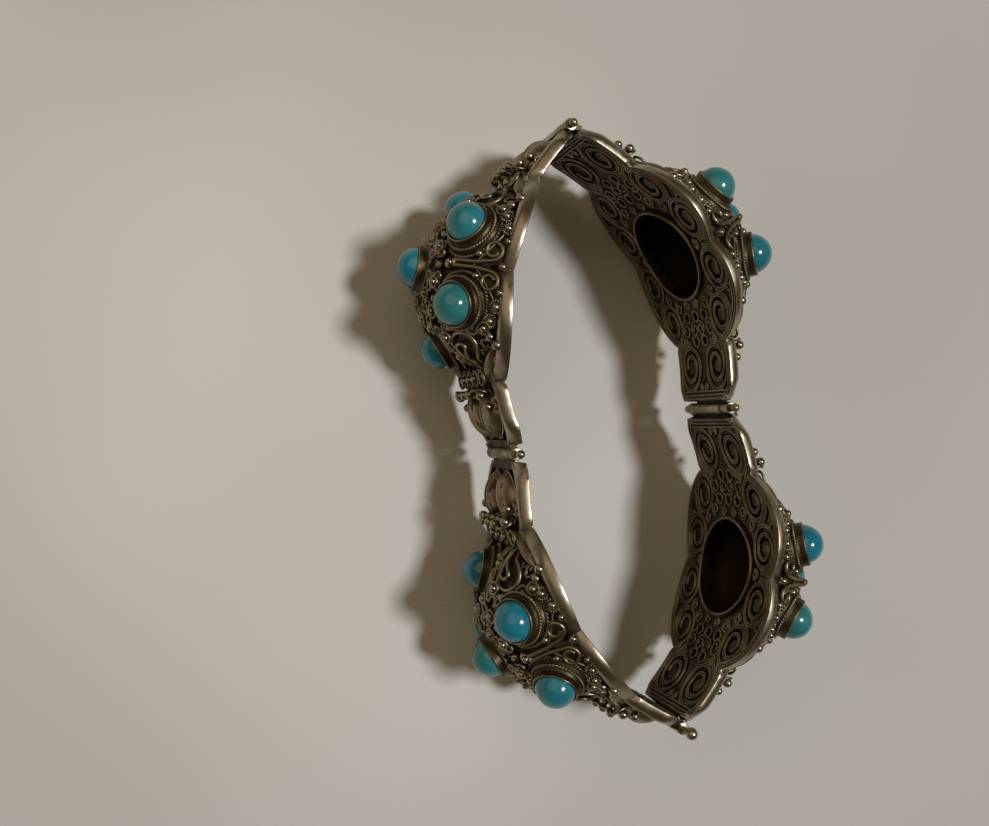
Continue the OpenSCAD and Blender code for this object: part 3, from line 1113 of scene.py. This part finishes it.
def add_camera():
    data = bpy.data.cameras.new("photo_camera")
    data.lens = CAMERA_LENS
    data.sensor_width = 36
    data.clip_start = 0.002
    camera = bpy.data.objects.new("photo_camera", data)
    bpy.context.scene.collection.objects.link(camera)
    back = (CAMERA_PLACE - CAMERA_AIM).normalized()
    level = Vector((0, 1, 0)) - back * back.y
    up = Matrix.Rotation(math.radians(CAMERA_ROLL), 3, back) @ level.normalized()
    turn = Matrix((up.cross(back), up, back)).transposed().to_4x4()
    camera.matrix_world = Matrix.Translation(CAMERA_PLACE) @ turn
    bpy.context.scene.camera = camera


def add_floor():
    bm = bmesh.new()
    bmesh.ops.create_grid(bm, x_segments=8, y_segments=8, size=FLOOR_HALF)
    bmesh.ops.translate(bm, vec=(0, 0, -FLOOR_DROP), verts=bm.verts)
    floor = bpy.data.objects.new("cloth_floor", mesh_of("cloth_floor", bm))
    bpy.context.scene.collection.objects.link(floor)
    floor.data.materials.append(cloth())


def add_light(name, kind, towards, energy, colour, **settings):
    """A lamp in the given direction, shining back at the bracelet."""
    data = bpy.data.lights.new(name, kind)
    data.energy = energy
    data.color = colour
    for label, value in settings.items():
        setattr(data, label, value)
    lamp = bpy.data.objects.new(name, data)
    way = Vector(towards).normalized()
    lamp.location = way * LAMP_DISTANCE
    lamp.rotation_euler = way.to_track_quat("Z", "Y").to_euler()
    bpy.context.scene.collection.objects.link(lamp)


def add_lights():
    add_light("window", "SUN", (0.345, -0.035, 0.9), 1.8, (0.98, 1.0, 1.02), angle=math.radians(9))
    add_light("soft_top", "AREA", (-0.35, 0.35, 0.65), 0.62, (1.0, 0.82, 0.57), size=0.6)
    world = bpy.data.worlds.new("room")
    world.use_nodes = True
    walls = world.node_tree.nodes["Background"]
    feed(world.node_tree, walls, {"Color": (1.0, 0.74, 0.42), "Strength": 0.08})
    bpy.context.scene.world = world


# Putting the bracelet together.

def hinge_place(pin):
    """Where a pin's hinge line crosses half the panels' height."""
    low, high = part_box(pin)
    middle = (low + high) / 2
    return Vector((middle.x, middle.y, HALF_HEIGHT * MM))


def panel_place(i):
    """Takes a panel's own millimetres to where the panel stands."""
    near = hinge_place(HINGE_PINS[i])
    far = hinge_place(HINGE_PINS[(i + 1) % len(HINGE_PINS)])
    along = (near - far).normalized()
    up = Vector((0, 0, 1))
    turn = Matrix((along, up.cross(along), up)).transposed().to_4x4()
    return Matrix.Translation((near + far) / 2) @ turn @ Matrix.Scale(MM, 4)


def dress(kind, mesh, finish):
    """Puts a copy of one worked piece on each of the four panels."""
    for i, body in enumerate(PANELS):
        own = mesh.copy()
        own.transform(panel_place(i))
        own.materials.append(finish)
        piece = bpy.data.objects.new(f"{kind}_{i + 1}", own)
        bpy.context.scene.collection.objects.link(piece)
        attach(piece, body)
    bpy.data.meshes.remove(mesh)


def finish_node(name, material):
    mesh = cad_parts[name].data
    for slot in range(len(mesh.materials)):
        mesh.materials[slot] = material


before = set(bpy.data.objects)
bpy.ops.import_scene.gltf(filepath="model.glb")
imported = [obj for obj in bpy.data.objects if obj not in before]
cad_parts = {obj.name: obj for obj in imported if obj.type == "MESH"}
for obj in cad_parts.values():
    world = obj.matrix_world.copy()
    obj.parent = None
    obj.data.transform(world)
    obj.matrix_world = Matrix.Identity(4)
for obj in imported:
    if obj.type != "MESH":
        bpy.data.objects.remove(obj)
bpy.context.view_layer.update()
bpy.context.scene.view_settings.view_transform = "Standard"
add_camera()
add_floor()
add_lights()

recess_tarnish_and_shade = recess_tarnish_and_shade_group()
worn_edges = worn_edge_group()
hand_finish = hand_finish_group()

# The plate's dark body is partly tarnish and partly painted shade of the ground between the wires;
# its hollow colour is painted shade inside the dome.
plate_silver = aged_silver(
    "tarnished_and_shaded_plate",
    worn=(0.33, 0.27, 0.18),
    body=(0.1, 0.073, 0.04),
    tarnish=(0.018, 0.011, 0.0055),
    grime=(0.06, 0.042, 0.022),
    reach=0.0016, open_at=0.8, deep_at=0.35, rough=(0.42, 0.65), dents=0.5, edge_width=0.00012,
    hollow_shade=(0.04, 0.024, 0.011),
)
wire_silver = aged_silver(
    "filigree_wire",
    worn=(0.55, 0.48, 0.37),
    body=(0.29, 0.235, 0.15),
    tarnish=(0.045, 0.03, 0.015),
    grime=(0.17, 0.128, 0.073),
    reach=0.0008, open_at=0.66, deep_at=0.22, rough=(0.34, 0.54), dents=0.35, edge_width=0.00006,
)
ball_silver = aged_silver(
    "granule_silver",
    worn=(0.74, 0.68, 0.58),
    body=(0.39, 0.335, 0.245),
    tarnish=(0.045, 0.03, 0.016),
    grime=(0.21, 0.165, 0.105),
    reach=0.0008, open_at=0.62, deep_at=0.2, rough=(0.22, 0.38), dents=0.3, edge_width=0.00006,
)
rim_silver = aged_silver(
    "rubbed_rim",
    worn=(0.78, 0.72, 0.62),
    body=(0.4, 0.345, 0.255),
    tarnish=(0.07, 0.05, 0.029),
    grime=(0.22, 0.175, 0.115),
    reach=0.0012, open_at=0.6, deep_at=0.2, rough=(0.28, 0.48), dents=0.8, edge_width=0.00015,
)
turquoises = (
    turquoise("sky_turquoise", (0.006, 0.18, 0.27), (0.015, 0.24, 0.32), (0.08, 0.37, 0.42)),
    turquoise("green_turquoise", (0.018, 0.18, 0.19), (0.035, 0.23, 0.24), (0.11, 0.34, 0.32)),
    turquoise("sea_turquoise", (0.012, 0.18, 0.23), (0.028, 0.24, 0.28), (0.1, 0.36, 0.38)),
)

for i in range(len(PANELS)):
    finish_node(f"panel_{i + 1}", plate_silver)
    for k in range(len(SEATS)):
        finish_node(f"stone_{i + 1}_{k + 1}", turquoises[(i + 2 * k) % len(turquoises)])
for pin in HINGE_PINS:
    finish_node(pin, rim_silver)

wirework = (
    ("back_spirals", back_spiral_runs, SPIRAL_WIRE),
    ("back_borders", back_border_runs, BORDER_WIRE),
    ("back_lattice", lattice_runs, LATTICE_WIRE),
    ("opening_wire", opening_wire_runs, OPENING_WIRE),
    ("horns", horn_runs, HORN_WIRE),
    ("scrolls", scroll_runs, SCROLL_WIRE),
    ("tab_crests", crest_runs, CREST_WIRE),
    ("hooks", hook_runs, HOOK_WIRE),
    ("foot_wires", foot_wire_runs, BORDER_WIRE),
    ("coils", coil_runs, COIL_WIRE),
    ("knots", knot_runs, KNOT_WIRE),
    ("rosettes", rosette_runs, ROSETTE_WIRE),
    ("bezel_ropes", bezel_rope_runs, ROPE_STRAND),
    ("bezel_lips", bezel_lip_runs, LIP_WIRE),
)
for kind, runs_of, gauge in wirework:
    dress(kind, wire_mesh(kind, runs_of(), gauge), wire_silver)
dress("granules", granule_mesh("granules", front_granules()), ball_silver)
dress("shoulder_leaves", shoulder_leaves(), wire_silver)
dress("tab_leaves", tab_leaves(), wire_silver)
dress("leaf_wires", wire_mesh("leaf_wires", leaf_wire_runs(), LEAF_WIRE), ball_silver)
dress("knuckle_sleeves", knuckle_sleeves(), rim_silver)
dress("rim_strips", rim_strips(), rim_silver)
